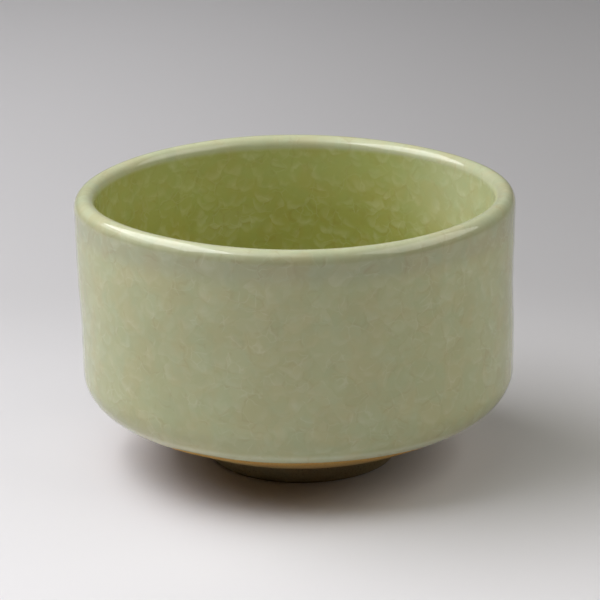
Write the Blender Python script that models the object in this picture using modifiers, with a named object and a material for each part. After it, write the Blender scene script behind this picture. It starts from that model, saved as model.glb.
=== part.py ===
"""Half-cylinder matcha tea bowl: stoneware body, luted foot ring, outer and inner glaze coats.

Metres, +Z up. The origin is on the bowl's axis, at the level of the foot ring's base.
Every piece is a turned profile of (radius, height) points.
"""
from math import atan2, cos, hypot, pi, radians, sin, tan

import bpy

# Overall size
RIM_RADIUS = 0.0600
HEIGHT = 0.0761
GAP = 0.0003                        # clearance between pieces that touch
SEGMENTS = 60                       # steps in one turn

# Lip: a quarter of an ellipse on the inner side, and a taller one on the outer side
LIP_WIDTH = 0.0057
LIP_INNER_RUN = 0.0028
LIP_INNER_DROP = 0.0026
LIP_OUTER_DROP = 0.0036

# Outer wall and hip: an almost upright wall, part of an ellipse, then a straight cone
HIP_RADIUS = 0.0596
HIP_HEIGHT = 0.0261
HIP_RUN = 0.0198                    # horizontal semi-axis of the hip's ellipse
HIP_DROP = 0.0134                   # vertical semi-axis
CONE_SLOPE = radians(25.5)
CONE_END_RADIUS = 0.0392

# Inside: upright wall, part of an ellipse, then a floor that falls to a shallow tea pool
INNER_HIP_HEIGHT = 0.0346
INNER_HIP_RUN = 0.0190
INNER_HIP_DROP = 0.0175
FLOOR_SLOPE = radians(4.0)
POOL_RADIUS = 0.0180
POOL_EDGE = 0.0025                  # half the width of the pool's soft edge
POOL_DEPTH = 0.0009

# Glaze coats
GLAZE_THICKNESS = 0.0008
GLAZE_LINE_ANGLE = radians(46.0)    # where the outer coat stops on the hip's ellipse
BARE_CLAY_ANGLE = radians(52.0)     # where the bare clay is back on the hip's ellipse

# Foot ring and the underside that it is luted to
FOOT_RADIUS = 0.0260
FOOT_INNER_RADIUS = 0.0200
FOOT_FLARE = 0.0006                 # the ring is this much wider at its top, on both sides
FOOT_EDGE = 0.0008                  # radius of the two edges that the bowl stands on
SEAT_HEIGHT = 0.0085
RECESS_HEIGHT = 0.0089              # the underside inside the ring is trimmed a little deeper

# Unevenness of a bowl thrown by hand: a lip with three low waves, on a slightly oval wall
LIP_WAVE = 0.0004
LIP_WAVES = 3
LIP_WAVE_TURN = radians(100.0)
OVAL = 0.0003
OVAL_TURN = radians(20.0)

# The foot ring, the hip and the rim are each a little off the axis, along X
FOOT_OFFSET = 0.0012
HIP_OFFSET = 0.00025
RIM_OFFSET = -0.0003
FOOT_TO_HIP = (0.0090, 0.0180)      # heights between which one offset blends into the next
HIP_TO_RIM = (0.0360, 0.0560)

CLAY_COLOUR = (0.28, 0.155, 0.075, 1.0)
FOOT_COLOUR = (0.24, 0.135, 0.068, 1.0)
OUTER_GLAZE_COLOUR = (0.40, 0.42, 0.25, 1.0)
INNER_GLAZE_COLOUR = (0.36, 0.39, 0.16, 1.0)
CLAY_ROUGHNESS = 0.85
GLAZE_ROUGHNESS = 0.18


def clear_scene():
    for item in list(bpy.data.objects):
        bpy.data.objects.remove(item)


def ellipse(centre, semi_axes, start, end, steps):
    """Points on an ellipse; the angle is 0 at +radius and pi / 2 at +height."""
    angles = [start + (end - start) * i / steps for i in range(steps + 1)]
    return [(centre[0] + semi_axes[0] * cos(a), centre[1] + semi_axes[1] * sin(a)) for a in angles]


def line(start, end, steps):
    """Points from start to end, without start itself."""
    return [
        (start[0] + (end[0] - start[0]) * i / steps, start[1] + (end[1] - start[1]) * i / steps)
        for i in range(1, steps + 1)
    ]


def smoothstep(low, high, value):
    share = min(max((value - low) / (high - low), 0.0), 1.0)
    return share * share * (3.0 - 2.0 * share)


def slope_angle(run, drop, slope):
    """Angle below the horizontal at which an ellipse's lower side has the given slope."""
    return atan2(drop, run * tan(slope))


def inner_floor():
    """The inside from the axis out over the tea pool to the inner hip."""
    inner_radius = RIM_RADIUS - LIP_WIDTH
    hip_end = slope_angle(INNER_HIP_RUN, INNER_HIP_DROP, FLOOR_SLOPE)
    edge_radius = inner_radius - INNER_HIP_RUN + INNER_HIP_RUN * cos(hip_end)
    edge_height = INNER_HIP_HEIGHT - INNER_HIP_DROP * sin(hip_end)
    pool_rim = POOL_RADIUS + POOL_EDGE
    radii = [0.0, POOL_RADIUS - POOL_EDGE, POOL_RADIUS, pool_rim, (pool_rim + edge_radius) / 2.0]
    return [
        (r, edge_height - (edge_radius - r) * tan(FLOOR_SLOPE)
         - POOL_DEPTH * (1.0 - smoothstep(POOL_RADIUS - POOL_EDGE, pool_rim, r)))
        for r in radii
    ]


def inside():
    """The whole inside, from the axis up to the lip's inner edge."""
    inner_radius = RIM_RADIUS - LIP_WIDTH
    hip_end = slope_angle(INNER_HIP_RUN, INNER_HIP_DROP, FLOOR_SLOPE)
    hip = ellipse(
        (inner_radius - INNER_HIP_RUN, INNER_HIP_HEIGHT), (INNER_HIP_RUN, INNER_HIP_DROP),
        -hip_end, 0.0, 5,
    )
    wall = line(hip[-1], (inner_radius, HEIGHT - LIP_INNER_DROP - GAP), 2)
    return inner_floor() + hip + wall


def lip():
    """Over the lip, from its inner edge to its outer edge."""
    outer_run = LIP_WIDTH - LIP_INNER_RUN
    crest = RIM_RADIUS - outer_run
    inner = ellipse(
        (crest, HEIGHT - LIP_INNER_DROP), (LIP_INNER_RUN, LIP_INNER_DROP), pi, pi / 2.0, 3,
    )
    outer = ellipse(
        (crest, HEIGHT - LIP_OUTER_DROP), (outer_run, LIP_OUTER_DROP), pi / 2.0, 0.0, 4,
    )
    return inner + outer[1:]


def hip_arc(start, end, steps):
    """Part of the outer hip; the angles are measured below the horizontal."""
    centre = (HIP_RADIUS - HIP_RUN, HIP_HEIGHT)
    return ellipse(centre, (HIP_RUN, HIP_DROP), -start, -end, steps)


def glazed_outside():
    """The outside from the lip's outer edge down to the glaze line."""
    top = (RIM_RADIUS, HEIGHT - LIP_OUTER_DROP)
    return line(top, (HIP_RADIUS, HIP_HEIGHT), 2) + hip_arc(0.0, GLAZE_LINE_ANGLE, 4)[1:]


def bare_underside():
    """Bare clay from below the glaze line to the axis, inside the foot ring."""
    cone_start = slope_angle(HIP_RUN, HIP_DROP, CONE_SLOPE)
    hip = hip_arc(BARE_CLAY_ANGLE, cone_start, 1)
    cone_end = (
        CONE_END_RADIUS,
        hip[-1][1] - (hip[-1][0] - CONE_END_RADIUS) * tan(CONE_SLOPE),
    )
    seat_outer = (FOOT_RADIUS + FOOT_FLARE + GAP, SEAT_HEIGHT)
    seat_inner = (FOOT_INNER_RADIUS - FOOT_FLARE - GAP, SEAT_HEIGHT)
    recess_edge = (seat_inner[0] - (RECESS_HEIGHT - SEAT_HEIGHT), RECESS_HEIGHT)
    return hip + [cone_end, seat_outer, seat_inner, recess_edge, (0.0, RECESS_HEIGHT)]


def inset(points, depth):
    """The same profile moved to its right-hand side, into the wall."""
    moved = []
    for i, (radius, height) in enumerate(points):
        before = points[max(i - 1, 0)]
        after = points[min(i + 1, len(points) - 1)]
        run, rise = after[0] - before[0], after[1] - before[1]
        length = hypot(run, rise)
        new_radius = 0.0 if radius == 0.0 else radius + depth * rise / length
        moved.append((new_radius, height - depth * run / length))
    return moved


def material(name, colour, roughness):
    result = bpy.data.materials.new(name)
    result.use_nodes = True
    shader = result.node_tree.nodes["Principled BSDF"]
    shader.inputs["Base Color"].default_value = colour
    shader.inputs["Roughness"].default_value = roughness
    shader.inputs["Metallic"].default_value = 0.0
    return result


def turned(name, profile, is_loop, finish, collection):
    """Turn a profile round the Z axis, then give it the bowl's unevenness."""
    edges = [(i, i + 1) for i in range(len(profile) - 1)]
    if is_loop:
        edges.append((len(profile) - 1, 0))
    outline = bpy.data.meshes.new(name + "_profile")
    outline.from_pydata([(radius, 0.0, height) for radius, height in profile], edges, [])
    piece = bpy.data.objects.new(name, outline)
    collection.objects.link(piece)
    screw = piece.modifiers.new("turn", "SCREW")
    screw.axis = "Z"
    screw.angle = 2.0 * pi
    screw.steps = SEGMENTS
    screw.render_steps = SEGMENTS
    screw.use_merge_vertices = True
    screw.merge_threshold = 0.00001

    depsgraph = bpy.context.evaluated_depsgraph_get()
    solid = bpy.data.meshes.new_from_object(piece.evaluated_get(depsgraph))
    piece.modifiers.clear()
    piece.data = solid
    solid.name = name
    bpy.data.meshes.remove(outline)
    shape_by_hand(solid)
    solid.materials.clear()
    solid.materials.append(finish)
    solid.shade_smooth()
    solid.set_sharp_from_angle(angle=radians(40.0))
    return piece


def offset(height):
    """How far the section at this height is off the axis."""
    foot_to_hip = smoothstep(*FOOT_TO_HIP, height)
    hip_to_rim = smoothstep(*HIP_TO_RIM, height)
    return (
        FOOT_OFFSET + (HIP_OFFSET - FOOT_OFFSET) * foot_to_hip
        + (RIM_OFFSET - HIP_OFFSET) * hip_to_rim
    )


def shape_by_hand(mesh):
    """Move the points of the true turned shape by the unevenness of a hand-thrown one."""
    for vertex in mesh.vertices:
        x, y, z = vertex.co
        radius = hypot(x, y)
        share = (z / HEIGHT) ** 2
        turn = atan2(y, x)
        stretch = 1.0 + OVAL / RIM_RADIUS * share * cos(2.0 * (turn - OVAL_TURN))
        wave = LIP_WAVE * share * share * cos(LIP_WAVES * (turn - LIP_WAVE_TURN))
        wave *= min(radius / RIM_RADIUS, 1.0)
        vertex.co = (x * stretch + offset(z), y * stretch, z + wave)


def clay_body(collection):
    """The thrown wall and floor, set back under the glaze by the coat and its clearance."""
    depth = GLAZE_THICKNESS + GAP
    glazed = inset(inside()[:-1] + lip() + glazed_outside(), depth)
    clay = material("clay_body", CLAY_COLOUR, CLAY_ROUGHNESS)
    turned("clay_body", glazed + bare_underside(), False, clay, collection)


def foot_ring(collection):
    """A low ring with a flat base and two rounded edges to stand on."""
    top = SEAT_HEIGHT - GAP
    outer_edge = ellipse(
        (FOOT_RADIUS - FOOT_EDGE, FOOT_EDGE), (FOOT_EDGE, FOOT_EDGE), 0.0, -pi / 2.0, 3,
    )
    inner_edge = ellipse(
        (FOOT_INNER_RADIUS + FOOT_EDGE, FOOT_EDGE), (FOOT_EDGE, FOOT_EDGE), -pi / 2.0, -pi, 3,
    )
    ring_top = [(FOOT_INNER_RADIUS - FOOT_FLARE, top), (FOOT_RADIUS + FOOT_FLARE, top)]
    clay = material("foot_ring", FOOT_COLOUR, CLAY_ROUGHNESS)
    turned("foot_ring", ring_top + outer_edge + inner_edge, True, clay, collection)


def outer_glaze(collection):
    """The coat over the lip and down the outside to the glaze line."""
    surface = lip() + glazed_outside()
    back = inset(surface, GLAZE_THICKNESS)
    glaze = material("outer_glaze", OUTER_GLAZE_COLOUR, GLAZE_ROUGHNESS)
    turned("outer_glaze", surface + back[::-1], True, glaze, collection)


def inner_glaze(collection):
    """The liner coat, from the lip's inner edge down over the floor."""
    surface = inside()
    back = inset(surface, GLAZE_THICKNESS)
    glaze = material("inner_glaze", INNER_GLAZE_COLOUR, GLAZE_ROUGHNESS)
    turned("inner_glaze", surface + back[::-1], False, glaze, collection)


def main():
    clear_scene()
    bowl = bpy.data.collections.new("matcha_bowl")
    bpy.context.scene.collection.children.link(bowl)
    clay_body(bowl)
    foot_ring(bowl)
    outer_glaze(bowl)
    inner_glaze(bowl)


main()
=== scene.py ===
"""Looks of a half-cylinder matcha bowl: crackled pale green glaze over bare, toasted stoneware.

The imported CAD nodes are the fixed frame. Each of the four pieces is replaced by a finer mesh that
keeps the CAD's sizes: turned columns of profile points, moved by the unevenness of hand throwing.
"""
from math import atan2, cos, hypot, pi, radians, sin, tan

import bpy
from mathutils import Matrix, Vector, noise


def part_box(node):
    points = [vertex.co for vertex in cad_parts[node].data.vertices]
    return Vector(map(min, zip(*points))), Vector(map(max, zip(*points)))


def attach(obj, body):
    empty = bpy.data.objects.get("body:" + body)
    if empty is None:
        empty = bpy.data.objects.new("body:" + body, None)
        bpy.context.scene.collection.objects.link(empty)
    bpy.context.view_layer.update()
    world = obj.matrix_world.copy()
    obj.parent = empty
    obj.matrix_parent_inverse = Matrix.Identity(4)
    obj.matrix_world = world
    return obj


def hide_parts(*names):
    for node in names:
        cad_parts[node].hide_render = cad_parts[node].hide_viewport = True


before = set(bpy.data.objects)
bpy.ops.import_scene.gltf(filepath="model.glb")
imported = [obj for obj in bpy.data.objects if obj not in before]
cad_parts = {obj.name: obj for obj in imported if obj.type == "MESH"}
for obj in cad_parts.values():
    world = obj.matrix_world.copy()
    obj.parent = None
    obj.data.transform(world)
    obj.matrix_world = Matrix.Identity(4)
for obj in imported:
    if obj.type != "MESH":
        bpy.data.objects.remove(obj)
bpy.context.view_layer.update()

MM = 0.001

# ---------------------------------------------------------------- sizes, taken from the frame
OUTER_LOW, OUTER_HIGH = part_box("outer_glaze")
FOOT_LOW, FOOT_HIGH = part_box("foot_ring")
CLAY_LOW, CLAY_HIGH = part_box("clay_body")

GLAZE_THICKNESS = 0.8 * MM
GAP = 0.3 * MM                      # the CAD's clearance, which the looks close
LIP_WAVE = 0.4 * MM                 # height of the lip's three low waves
LIP_WAVES = 3
LIP_WAVE_TURN = radians(100.0)
OVAL = 0.3 * MM
OVAL_TURN = radians(20.0)

RIM_RADIUS = (OUTER_HIGH.x - OUTER_LOW.x + OUTER_HIGH.y - OUTER_LOW.y) / 4.0
LIP_WIDTH = 5.7 * MM
LIP_INNER_RUN = 2.8 * MM
LIP_INNER_DROP = 2.6 * MM
LIP_OUTER_RUN = LIP_WIDTH - LIP_INNER_RUN
LIP_OUTER_DROP = 3.6 * MM
INNER_RADIUS = RIM_RADIUS - LIP_WIDTH
CREST_RADIUS = RIM_RADIUS - LIP_OUTER_RUN
HEIGHT = OUTER_HIGH.z - LIP_WAVE * CREST_RADIUS / RIM_RADIUS

HIP_RADIUS = RIM_RADIUS - 0.4 * MM
HIP_HEIGHT = 26.1 * MM
HIP_RUN = 19.8 * MM                 # semi-axes of the hip's ellipse
HIP_DROP = 13.4 * MM
CONE_SLOPE = radians(25.5)
CONE_END_RADIUS = 39.2 * MM
GLAZE_LINE_ANGLE = radians(46.0)
BARE_CLAY_ANGLE = radians(51.5)

INNER_HIP_HEIGHT = 34.6 * MM
INNER_HIP_RUN = 19.0 * MM
INNER_HIP_DROP = 17.5 * MM
FLOOR_SLOPE = radians(4.0)
POOL_RADIUS = 18.0 * MM
POOL_EDGE = 2.5 * MM
POOL_DEPTH = 0.9 * MM

FOOT_RADIUS = 26.0 * MM
FOOT_INNER_RADIUS = 20.0 * MM
FOOT_FLARE = 0.6 * MM
FOOT_EDGE = 0.8 * MM
SEAT_HEIGHT = FOOT_HIGH.z + GAP
RECESS_HEIGHT = CLAY_LOW.z + 0.4 * MM

FOOT_OFFSET = (FOOT_LOW.x + FOOT_HIGH.x) / 2.0     # foot, hip and rim are a little off the axis
HIP_OFFSET = 0.25 * MM
RIM_OFFSET = -0.3 * MM

DENT_DEPTH = 0.16 * MM
DENT_SIZE = 22.0 * MM
RING_DEPTH = 0.02 * MM              # throwing rings
RING_PITCH = 7.5 * MM
WAIST_DEPTH = 0.14 * MM             # the wall is drawn in here, between hip and lip
WAIST_START = (36.0 * MM, 46.0 * MM)
WAIST_END = (54.0 * MM, 65.0 * MM)
COLLAR_SWELL = 0.10 * MM            # and swells a little just under the lip
COLLAR = (67.0 * MM, 73.0 * MM)
UNEVEN_FROM = (12.0 * MM, 30.0 * MM)    # dents, rings, waist and collar fade in here
FOOT_TO_HIP = (9.0 * MM, 18.0 * MM)
HIP_TO_RIM = (36.0 * MM, 56.0 * MM)

LARGE_FLAKE = 5.6                   # crackle cells, in the materials' millimetres
SMALL_FLAKE = 3.9

COLUMNS = 360                       # mesh columns round the bowl


# ---------------------------------------------------------------- profiles of (radius, height)
def smoothstep(low, high, value):
    share = min(max((value - low) / (high - low), 0.0), 1.0)
    return share * share * (3.0 - 2.0 * share)


def ellipse(centre, semi_axes, start, end, steps):
    angles = [start + (end - start) * i / steps for i in range(steps + 1)]
    return [(centre[0] + semi_axes[0] * cos(a), centre[1] + semi_axes[1] * sin(a)) for a in angles]


def line(start, end, steps):
    """Points from start to end, without start itself."""
    return [
        (start[0] + (end[0] - start[0]) * i / steps, start[1] + (end[1] - start[1]) * i / steps)
        for i in range(1, steps + 1)
    ]


def slope_angle(run, drop, slope):
    """Angle below the horizontal at which an ellipse's lower side has the given slope."""
    return atan2(drop, run * tan(slope))


def inset(points, depth):
    """The same profile moved to its right-hand side, into the wall."""
    moved = []
    for i, (radius, height) in enumerate(points):
        before = points[max(i - 1, 0)]
        after = points[min(i + 1, len(points) - 1)]
        run, rise = after[0] - before[0], after[1] - before[1]
        length = hypot(run, rise)
        new_radius = 0.0 if radius == 0.0 else radius + depth * rise / length
        moved.append((new_radius, height - depth * run / length))
    return moved


def inside_profile():
    """From the axis over the tea pool and the floor, then up the wall to the lip's inner edge."""
    hip_end = slope_angle(INNER_HIP_RUN, INNER_HIP_DROP, FLOOR_SLOPE)
    centre = (INNER_RADIUS - INNER_HIP_RUN, INNER_HIP_HEIGHT)
    hip = ellipse(centre, (INNER_HIP_RUN, INNER_HIP_DROP), -hip_end, 0.0, 30)
    edge_radius, edge_height = hip[0]
    floor = []
    steps = 40
    for i in range(steps):
        r = edge_radius * i / steps
        dish = 1.0 - smoothstep(POOL_RADIUS - POOL_EDGE, POOL_RADIUS + POOL_EDGE, r)
        floor.append((r, edge_height - (edge_radius - r) * tan(FLOOR_SLOPE) - POOL_DEPTH * dish))
    return floor + hip + line(hip[-1], (INNER_RADIUS, HEIGHT - LIP_INNER_DROP), 40)


def lip_profile():
    """A quarter of an ellipse on the inner side, and a taller one on the outer side."""
    inner = ellipse((CREST_RADIUS, HEIGHT - LIP_INNER_DROP), (LIP_INNER_RUN, LIP_INNER_DROP),
                    pi, pi / 2.0, 24)
    outer = ellipse((CREST_RADIUS, HEIGHT - LIP_OUTER_DROP), (LIP_OUTER_RUN, LIP_OUTER_DROP),
                    pi / 2.0, 0.0, 30)
    return inner + outer[1:]


def hip_arc(start, end, steps):
    """Part of the outer hip; the angles are measured below the horizontal."""
    return ellipse((HIP_RADIUS - HIP_RUN, HIP_HEIGHT), (HIP_RUN, HIP_DROP), -start, -end, steps)


def outside_profile(glaze_line):
    """From the lip's inner edge over it and down to the glaze line."""
    wall = line((RIM_RADIUS, HEIGHT - LIP_OUTER_DROP), (HIP_RADIUS, HIP_HEIGHT), 44)
    return lip_profile() + wall + hip_arc(0.0, glaze_line, 30)[1:]


def underside_profile(start):
    """Bare clay from the hip to the axis: cone, seat of the foot ring, trimmed recess."""
    cone_start = slope_angle(HIP_RUN, HIP_DROP, CONE_SLOPE)
    hip = hip_arc(start, max(cone_start, start + radians(1.0)), 6)
    corner = (CONE_END_RADIUS, hip[-1][1] - (hip[-1][0] - CONE_END_RADIUS) * tan(CONE_SLOPE))
    seat_outer = (FOOT_RADIUS + FOOT_FLARE, SEAT_HEIGHT)
    seat_inner = (FOOT_INNER_RADIUS - FOOT_FLARE, SEAT_HEIGHT)
    recess_edge = (seat_inner[0] - 0.4 * MM, RECESS_HEIGHT)
    return (
        hip + line(hip[-1], corner, 40) + line(corner, seat_outer, 30)
        + line(seat_outer, seat_inner, 4) + [recess_edge] + line(recess_edge, (0.0, RECESS_HEIGHT), 30)
    )


def foot_profile():
    """The foot ring as a closed loop, from its inner top edge."""
    outer_edge = ellipse(
        (FOOT_RADIUS - FOOT_EDGE, FOOT_EDGE), (FOOT_EDGE, FOOT_EDGE), 0.0, -pi / 2.0, 8,
    )
    inner_edge = ellipse(
        (FOOT_INNER_RADIUS + FOOT_EDGE, FOOT_EDGE), (FOOT_EDGE, FOOT_EDGE), -pi / 2.0, -pi, 8,
    )
    outer_top = (FOOT_RADIUS + FOOT_FLARE, SEAT_HEIGHT)
    inner_top = (FOOT_INNER_RADIUS - FOOT_FLARE, SEAT_HEIGHT)
    return (
        [inner_top] + line(inner_top, outer_top, 4) + line(outer_top, outer_edge[0], 16)[:-1]
        + outer_edge + line(outer_edge[-1], inner_edge[0], 8)[:-1]
        + inner_edge + line(inner_edge[-1], inner_top, 16)[:-1]
    )


def rolled_edge(surface):
    """The rounded end of a coat whose surface stops at the profile's last point."""
    (r0, z0), (r1, z1) = surface[-2], surface[-1]
    length = hypot(r1 - r0, z1 - z0)
    along = ((r1 - r0) / length, (z1 - z0) / length)
    inward = (along[1], -along[0])
    half = GLAZE_THICKNESS / 2.0
    centre = (r1 + inward[0] * half, z1 + inward[1] * half)
    steps = 8
    angles = [pi * i / steps for i in range(1, steps)]
    return [
        (
            centre[0] + half * (along[0] * sin(a) - inward[0] * cos(a)),
            centre[1] + half * (along[1] * sin(a) - inward[1] * cos(a)),
        )
        for a in angles
    ]


# ---------------------------------------------------------------- hand-thrown unevenness
def offset(height):
    """How far the section at this height is off the axis, along X."""
    foot_to_hip = smoothstep(*FOOT_TO_HIP, height)
    hip_to_rim = smoothstep(*HIP_TO_RIM, height)
    return (
        FOOT_OFFSET + (HIP_OFFSET - FOOT_OFFSET) * foot_to_hip
        + (RIM_OFFSET - HIP_OFFSET) * hip_to_rim
    )


def shaped(point):
    """A point of the true turned bowl, moved as hand throwing and the kiln left it."""
    x, y, z = point
    turn = atan2(y, x)
    share = max(z / HEIGHT, 0.0) ** 2
    stretch = OVAL / RIM_RADIUS * share * cos(2.0 * (turn - OVAL_TURN))
    wave = LIP_WAVE * share * share * cos(LIP_WAVES * (turn - LIP_WAVE_TURN))
    wave *= min(hypot(x, y) / RIM_RADIUS, 1.0)
    dents = DENT_DEPTH * noise.noise(point / DENT_SIZE)
    rings = RING_DEPTH * sin(2.0 * pi * z / RING_PITCH + turn)
    waist = WAIST_DEPTH * (smoothstep(*WAIST_START, z) - smoothstep(*WAIST_END, z))
    collar = COLLAR_SWELL * smoothstep(*COLLAR, z)
    moved = (dents + rings + collar - waist) * smoothstep(*UNEVEN_FROM, z)
    scale = 1.0 + stretch + moved / RIM_RADIUS
    return Vector((x * scale + offset(z), y * scale, z + wave))


def glaze_line_at(turn):
    """The dipped coat's lower edge: higher over the front, and a little uneven all round.

    The angle is measured below the horizontal on the hip's ellipse.
    """
    to_right = atan2(cos(turn), -sin(turn))
    notch = smoothstep(radians(10.0), radians(30.0), -to_right)
    left = smoothstep(radians(35.0), radians(45.0), -to_right)
    right = smoothstep(radians(32.0), radians(46.0), to_right)
    sway = 0.5 * sin(turn + 0.6) + 0.3 * sin(2.0 * turn + 2.1) + 0.2 * sin(5.0 * turn)
    return GLAZE_LINE_ANGLE + radians(12.5 * left - 5.0 * notch + 7.5 * right + 0.9 * sway)


# ---------------------------------------------------------------- mesh building
def turned_mesh(name, columns, is_loop):
    """A closed mesh from one profile per column; an open profile starts and ends on the axis."""
    count = len(columns)
    rows = len(columns[0])
    rings = range(rows) if is_loop else range(1, rows - 1)
    vertices, faces = [], []
    for j in rings:
        for i, profile in enumerate(columns):
            turn = 2.0 * pi * i / count
            radius, height = profile[j]
            vertices.append(shaped(Vector((radius * cos(turn), radius * sin(turn), height))))
    for j in range(len(rings) if is_loop else len(rings) - 1):
        upper, lower = j * count, (j + 1) % len(rings) * count
        for i in range(count):
            k = (i + 1) % count
            faces.append((upper + i, upper + k, lower + k, lower + i))
    if not is_loop:
        first, last = len(vertices), len(vertices) + 1
        final = (len(rings) - 1) * count
        vertices += [shaped(Vector((0.0, 0.0, columns[0][end][1]))) for end in (0, -1)]
        for i in range(count):
            k = (i + 1) % count
            faces.append((first, k, i))
            faces.append((last, final + i, final + k))
    mesh = bpy.data.meshes.new(name)
    mesh.from_pydata(vertices, [], faces)
    mesh.shade_smooth()
    mesh.set_sharp_from_angle(angle=radians(50.0))
    return mesh


def outer_glaze_columns():
    columns = []
    for i in range(COLUMNS):
        surface = outside_profile(glaze_line_at(2.0 * pi * i / COLUMNS))
        columns.append(surface + rolled_edge(surface) + inset(surface, GLAZE_THICKNESS)[::-1])
    return columns


def inner_glaze_columns():
    surface = inside_profile()
    return [surface + inset(surface, GLAZE_THICKNESS)[::-1]] * COLUMNS


def clay_columns():
    """The clay comes out to the bowl's surface below the glaze line; under the coats it is coarser."""
    columns = []
    for i in range(COLUMNS):
        glaze_line = glaze_line_at(2.0 * pi * i / COLUMNS)
        glazed = inside_profile()[:-1] + outside_profile(glaze_line + radians(1.5))
        bare = underside_profile(glaze_line + BARE_CLAY_ANGLE - GLAZE_LINE_ANGLE)
        hidden = inset(glazed, GLAZE_THICKNESS)
        columns.append(hidden[:-1:2] + hidden[-1:] + bare)
    return columns


def add_piece(name, columns, is_loop, node, finish):
    mesh = turned_mesh(name, columns, is_loop)
    mesh.materials.append(finish)
    piece = bpy.data.objects.new(name, mesh)
    bpy.context.scene.collection.objects.link(piece)
    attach(piece, "root")
    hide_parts(node)


# ---------------------------------------------------------------- colours
GLAZE_LIP = (0.56, 0.58, 0.385, 1.0)
# painted shade: the outer wall's colour just under the lip, darker than the wall
GLAZE_UNDER_LIP_SHADE = (0.41, 0.415, 0.253, 1.0)
GLAZE_WALL = (0.448, 0.460, 0.256, 1.0)
GLAZE_INSIDE = (0.46, 0.485, 0.172, 1.0)
# painted light: the inside's colour where the key light falls
GLAZE_INSIDE_LIT = (0.53, 0.56, 0.325, 1.0)
GLAZE_DEEP = (0.395, 0.405, 0.113, 1.0)
GLAZE_POOL = (0.36, 0.39, 0.12, 1.0)
GLAZE_FLAKE = (0.80, 0.82, 0.60, 1.0)
CLAY_TOASTED = (0.47, 0.275, 0.058, 1.0)
CLAY_PALE = (0.36, 0.24, 0.085, 1.0)
CLAY_FOOT = (0.30, 0.235, 0.115, 1.0)
PAPER = (0.725, 0.709, 0.738, 1.0)
# painted shade: the paper greyer behind the bowl and far back, where less light reaches
PAPER_BEHIND_SHADE = (0.528, 0.516, 0.534, 1.0)
PAPER_FAR_SHADE = (0.61, 0.597, 0.618, 1.0)
WINDOW = (0.98, 0.985, 1.0)
ROOM = (1.0, 0.99, 0.90)


# ---------------------------------------------------------------- materials
class Nodes:
    """Short forms for building a material's node tree."""

    def __init__(self, name):
        self.material = bpy.data.materials.new(name)
        self.material.use_nodes = True
        self.tree = self.material.node_tree
        self.shader = self.tree.nodes["Principled BSDF"]

    def new(self, kind, **settings):
        node = self.tree.nodes.new(kind)
        for key, value in settings.items():
            setattr(node, key, value)
        return node

    def put(self, socket, value):
        if isinstance(value, bpy.types.NodeSocket):
            self.tree.links.new(value, socket)
        else:
            socket.default_value = value

    def math(self, operation, *values):
        node = self.new("ShaderNodeMath", operation=operation)
        for socket, value in zip(node.inputs, values):
            self.put(socket, value)
        return node.outputs[0]

    def vector(self, operation, a, b=None, scale=None):
        node = self.new("ShaderNodeVectorMath", operation=operation)
        self.put(node.inputs[0], a)
        if b is not None:
            self.put(node.inputs[1], b)
        if scale is not None:
            self.put(node.inputs["Scale"], scale)
        return node.outputs["Value" if operation in ("DOT_PRODUCT", "LENGTH") else "Vector"]

    def step(self, value, low, high, to_low=0.0, to_high=1.0):
        node = self.new("ShaderNodeMapRange", interpolation_type="SMOOTHSTEP")
        for socket, item in zip(node.inputs, (value, low, high, to_low, to_high)):
            self.put(socket, item)
        return node.outputs["Result"]

    def place(self):
        """The place on the object in millimetres."""
        coordinates = self.new("ShaderNodeTexCoord").outputs["Object"]
        return self.vector("SCALE", coordinates, scale=1.0 / MM)

    def from_axis(self, where):
        return self.vector("LENGTH", self.vector("MULTIPLY", where, (1.0, 1.0, 0.0)))

    def split(self, value):
        node = self.new("ShaderNodeSeparateXYZ")
        self.put(node.inputs[0], value)
        return node.outputs

    def noise(self, where, size, detail=2.0, roughness=0.5):
        """Noise whose spots are about size millimetres across."""
        node = self.new("ShaderNodeTexNoise")
        self.put(node.inputs["Vector"], where)
        node.inputs["Scale"].default_value = 1.0 / size
        node.inputs["Detail"].default_value = detail
        node.inputs["Roughness"].default_value = roughness
        return node.outputs

    def voronoi(self, where, size, feature):
        node = self.new("ShaderNodeTexVoronoi", feature=feature)
        self.put(node.inputs["Vector"], self.vector("SCALE", where, scale=1.0 / size))
        node.inputs["Scale"].default_value = 1.0
        return node.outputs

    def mix(self, share, a, b, blend="MIX"):
        node = self.new("ShaderNodeMix", data_type="RGBA", blend_type=blend)
        self.put(node.inputs["Factor"], share)
        for socket, value in zip([s for s in node.inputs if s.type == "RGBA"], (a, b)):
            self.put(socket, value)
        return [s for s in node.outputs if s.type == "RGBA"][0]

    def tint(self, share, base, colour):
        """The base colour multiplied by another one, by a share."""
        return self.mix(share, base, colour, "MULTIPLY")

    def bump(self, height, distance):
        node = self.new("ShaderNodeBump")
        node.inputs["Strength"].default_value = 1.0
        node.inputs["Distance"].default_value = distance
        self.put(node.inputs["Height"], height)
        self.put(self.shader.inputs["Normal"], node.outputs["Normal"])


def flakes(n, where, cell, radius, softness):
    """Scale-shaped flakes of a crackle, palest at their lower edges, where a crack reflects.

    The cell is in millimetres, the radius and the softness in cells. It also returns each cell's
    own random colour.
    """
    cells = n.voronoi(where, cell, "F1")
    scaled = n.vector("SCALE", where, scale=1.0 / cell)
    outward = n.vector("NORMALIZE", n.vector("SUBTRACT", scaled, cells["Position"]))
    facing = n.vector("NORMALIZE", n.vector("SUBTRACT", cells["Color"], (0.5, 0.5, 1.05)))
    side = n.step(n.vector("DOT_PRODUCT", outward, facing), -0.2, 0.95)
    swell = n.step(cells["Distance"], 0.2 * radius, radius)
    rim = n.step(cells["Distance"], radius, radius + softness, 1.0, 0.0)
    return n.math("MULTIPLY", n.math("MULTIPLY", side, swell), rim), cells["Color"]


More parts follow.
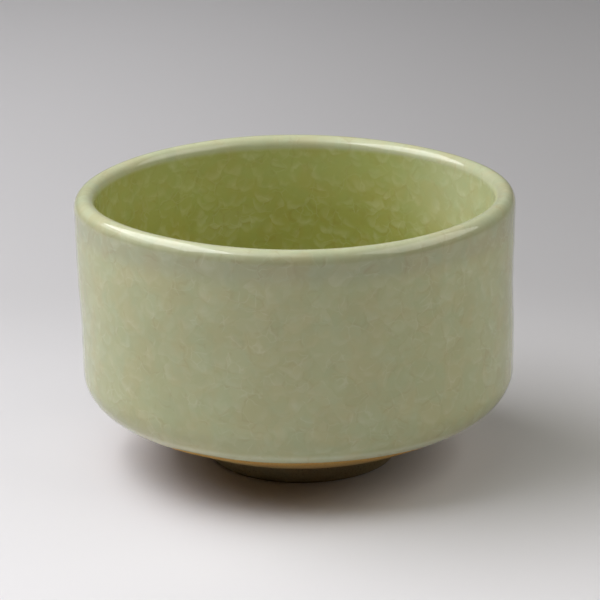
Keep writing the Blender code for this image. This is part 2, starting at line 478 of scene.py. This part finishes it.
def cracks(n, where, cell, width):
    """Thin lines, width millimetres to each side, between cells of the given size."""
    edges = n.voronoi(where, cell, "DISTANCE_TO_EDGE")
    return n.step(edges["Distance"], 0.0, width / cell, 1.0, 0.0)


def glaze(name, is_inside):
    """Clear gloss over a grey-green coat: paler on the lip, deeper and yellower inside. Painted shade
    darkens the outer wall just under the lip, and painted light pales the inside's upper right-hand
    wall.
    """
    n = Nodes(name)
    where = n.place()
    warp = n.vector("SUBTRACT", n.noise(where, 6.0)["Color"], (0.5, 0.5, 0.5))
    bent = n.vector("ADD", where, n.vector("SCALE", warp, scale=5.0))
    shifted = n.vector("ADD", bent, (31.0, 17.0, 53.0))
    large, tone = flakes(n, bent, LARGE_FLAKE, 0.44, 0.16)
    small, small_tone = flakes(n, shifted, SMALL_FLAKE, 0.46, 0.18)
    seams = cracks(n, bent, LARGE_FLAKE, 0.5)
    fine = cracks(n, shifted, SMALL_FLAKE, 0.22)
    some = n.step(n.noise(shifted, 5.0)["Fac"], 0.46, 0.62)

    height = n.split(where)["Z"]
    edge = (HEIGHT - LIP_INNER_DROP) / MM       # where the two coats meet, inside the lip
    if is_inside:
        base = n.mix(n.step(height, edge - 22.0, edge - 6.0), GLAZE_DEEP, GLAZE_INSIDE)
        # painted light: the upper inner wall on the +X side, which the key light reaches, painted
        # paler
        pale = n.math("MULTIPLY", n.step(n.split(where)["X"], 22.0, 48.0),
                      n.step(height, edge - 34.0, edge - 8.0))
        base = n.mix(pale, base, GLAZE_INSIDE_LIT)
        base = n.mix(n.step(height, edge - 1.2, edge + 0.3), base, GLAZE_LIP)
        base = n.mix(n.step(height, 22.5, 15.5), base, GLAZE_POOL)
    else:
        # painted shade: the outer wall darker over its last few millimetres under the lip
        base = n.mix(n.step(height, edge - 9.0, edge - 3.0), GLAZE_WALL, GLAZE_UNDER_LIP_SHADE)
        crest = CREST_RADIUS / MM
        lip = n.math("MAXIMUM", n.step(height, edge - 0.2, edge + 2.2),
                     n.step(n.from_axis(where), crest + 0.6, crest - 0.9))
        base = n.mix(lip, base, GLAZE_LIP)

    patches = n.noise(where, 9.0, 3.0, 0.55)["Fac"]
    base = n.tint(n.step(patches, 0.45, 0.62), base, (1.02, 0.97, 0.94, 1.0))
    drift = n.noise(shifted, 7.0, 3.0, 0.55)["Fac"]
    base = n.tint(n.step(drift, 0.46, 0.62), base, (0.97, 1.0, 1.02, 1.0))
    patchy = 0.5 if is_inside else 0.8          # how much the cells differ in tone
    base = n.tint(n.math("MULTIPLY", n.split(tone)["X"], patchy), base, (0.93, 0.94, 0.90, 1.0))
    base = n.tint(n.math("MULTIPLY", n.split(small_tone)["Y"], patchy), base,
                  (0.97, 0.955, 0.945, 1.0))
    base = n.tint(n.math("MULTIPLY", seams, some), base, (0.96, 0.925, 0.91, 1.0))

    contrast = 0.5 if is_inside else 0.24       # how strongly the flakes show
    glow = n.math("MULTIPLY", large, 0.30 * contrast)
    glow = n.math("MULTIPLY_ADD", small, 0.20 * contrast, glow)
    glow = n.math("MULTIPLY_ADD", n.math("MULTIPLY", fine, some), 0.10, glow)
    base = n.mix(glow, base, GLAZE_FLAKE)
    n.put(n.shader.inputs["Base Color"], base)

    n.shader.inputs["IOR"].default_value = 1.52
    n.shader.inputs["Roughness"].default_value = 0.07
    skin = n.noise(where, 2.6, 2.0)["Fac"]
    n.bump(skin, 0.018 * MM)
    return n.material


def bare_clay(name, low_colour, high_colour):
    """Sandy fired clay, toasted where the glaze's edge is near, with fine turning marks."""
    n = Nodes(name)
    where = n.place()
    parts = n.split(where)
    base = n.mix(n.step(parts["Z"], 9.5, 15.5), low_colour, high_colour)
    base = n.tint(n.step(n.noise(where, 0.6, 4.0, 0.65)["Fac"], 0.42, 0.62), base,
                  (0.87, 0.84, 0.80, 1.0))
    base = n.tint(n.step(n.noise(where, 11.0, 3.0)["Fac"], 0.40, 0.65), base,
                  (1.05, 0.95, 0.88, 1.0))
    specks = n.step(n.voronoi(where, 1.1, "F1")["Distance"], 0.10, 0.20, 1.0, 0.0)
    base = n.mix(n.math("MULTIPLY", specks, 0.6), base, (0.07, 0.04, 0.025, 1.0))
    n.put(n.shader.inputs["Base Color"], base)
    n.shader.inputs["Roughness"].default_value = 0.82

    along = n.math("ADD", n.from_axis(where), parts["Z"])
    marks = n.math("SINE", n.math("MULTIPLY", along, 2.0 * pi / 1.3))
    grain = n.noise(where, 0.4, 5.0, 0.7)["Fac"]
    n.bump(n.math("MULTIPLY_ADD", marks, 0.12, grain), 0.2 * MM)
    return n.material


def paper(name):
    """Plain whitish paper with painted shade: a little greyer behind the bowl and further back, where
    less light falls, and to its right, where the bowl's shadow lies.
    """
    n = Nodes(name)
    where = n.split(n.place())
    # painted shade: greyer paper behind the bowl and further back
    behind = n.step(where["Y"], 0.0, 160.0)
    tone = n.mix(behind, PAPER, PAPER_BEHIND_SHADE)
    tone = n.mix(n.step(where["Y"], 230.0, 750.0), tone, PAPER_FAR_SHADE)
    # painted shade: the paper darker towards the bowl's right, deepening its shadow there
    right = n.math("MULTIPLY", n.step(where["Y"], -150.0, 160.0),
                   n.step(where["X"], -120.0, 150.0))
    n.put(n.shader.inputs["Base Color"], n.tint(right, tone, (0.82, 0.82, 0.82, 1.0)))
    n.shader.inputs["Roughness"].default_value = 0.7
    n.shader.inputs["Specular IOR Level"].default_value = 0.2
    return n.material


# ---------------------------------------------------------------- studio
def sweep():
    """A paper sweep: the floor curves up into a plain wall far behind the bowl."""
    half_width, front, back, bend = 3.0, -2.5, 1.9, 0.8
    outline = [(front, 0.0), (back - bend, 0.0)]
    steps = 24
    outline += [
        (back - bend + bend * sin(pi / 2.0 * i / steps), bend - bend * cos(pi / 2.0 * i / steps))
        for i in range(1, steps + 1)
    ]
    outline.append((back, 3.0))
    vertices = [(x, y, z) for y, z in outline for x in (-half_width, half_width)]
    faces = [(2 * i, 2 * i + 1, 2 * i + 3, 2 * i + 2) for i in range(len(outline) - 1)]
    mesh = bpy.data.meshes.new("studio_sweep")
    mesh.from_pydata(vertices, [], faces)
    mesh.shade_smooth()
    mesh.materials.append(paper("studio_paper"))
    backdrop = bpy.data.objects.new("studio_sweep", mesh)
    bpy.context.scene.collection.objects.link(backdrop)


def area_light(name, azimuth, elevation, distance, size, power, colour):
    """A soft light aimed at the bowl; the azimuth runs from +X towards +Y."""
    data = bpy.data.lights.new(name, "AREA")
    data.shape = "RECTANGLE"
    data.size, data.size_y = size
    data.energy = power
    data.color = colour
    light = bpy.data.objects.new(name, data)
    a, e = radians(azimuth), radians(elevation)
    away = Vector((cos(a) * cos(e), sin(a) * cos(e), sin(e)))
    centre = Vector((0.0, 0.0, HEIGHT / 2.0))
    light.location = centre + away * distance
    light.rotation_euler = away.to_track_quat("Z", "Y").to_euler()
    bpy.context.scene.collection.objects.link(light)


def lights():
    """A window to the left, in three panes, with soft light from above and from the right."""
    area_light("key_upper", 176.0, 52.0, 0.76, (0.96, 0.46), 6.3, WINDOW)
    area_light("key_lower", 170.0, 31.0, 0.76, (0.60, 0.22), 0.72, WINDOW)
    area_light("key_front", 222.0, 60.0, 0.76, (0.34, 0.22), 0.34, WINDOW)
    area_light("top", 201.8, 73.6, 0.95, (1.2, 0.5), 2.1, ROOM)
    area_light("fill", 350.0, 40.0, 0.95, (1.0, 0.64), 4.2, ROOM)


def dark_world():
    """All of the light comes from the studio lights."""
    world = bpy.data.worlds.new("studio_air")
    world.use_nodes = True
    world.node_tree.nodes["Background"].inputs["Strength"].default_value = 0.0
    bpy.context.scene.world = world


def camera():
    """Seen from the front and 17.8 degrees above, rolled half a degree."""
    elevation, roll, distance = radians(17.8), radians(-0.51), 0.8
    data = bpy.data.cameras.new("camera")
    data.sensor_width = 36.0
    data.lens = 173.3
    view = bpy.data.objects.new("camera", data)
    up = Vector((0.0, sin(elevation), cos(elevation)))
    back = Vector((0.0, -cos(elevation), sin(elevation)))
    aim = Vector((0.88 * MM, 0.0, 36.6 * MM)) + up * 7.2 * MM
    turn = Matrix((Vector((1.0, 0.0, 0.0)), up, back)).transposed()
    view.matrix_world = (
        Matrix.Translation(aim + back * distance)
        @ turn.to_4x4()
        @ Matrix.Rotation(roll, 4, "Z")
    )
    bpy.context.scene.collection.objects.link(view)
    bpy.context.scene.camera = view


def main():
    bpy.context.scene.view_settings.view_transform = "Standard"
    add_piece("glaze_outside", outer_glaze_columns(), True, "outer_glaze",
              glaze("outer_glaze", False))
    add_piece("glaze_inside", inner_glaze_columns(), False, "inner_glaze",
              glaze("inner_glaze", True))
    add_piece("stoneware_body", clay_columns(), False, "clay_body",
              bare_clay("stoneware", CLAY_PALE, CLAY_TOASTED))
    add_piece("stoneware_foot", [foot_profile()] * COLUMNS, True, "foot_ring",
              bare_clay("foot_stoneware", CLAY_FOOT, CLAY_FOOT))
    sweep()
    lights()
    dark_world()
    camera()


main()
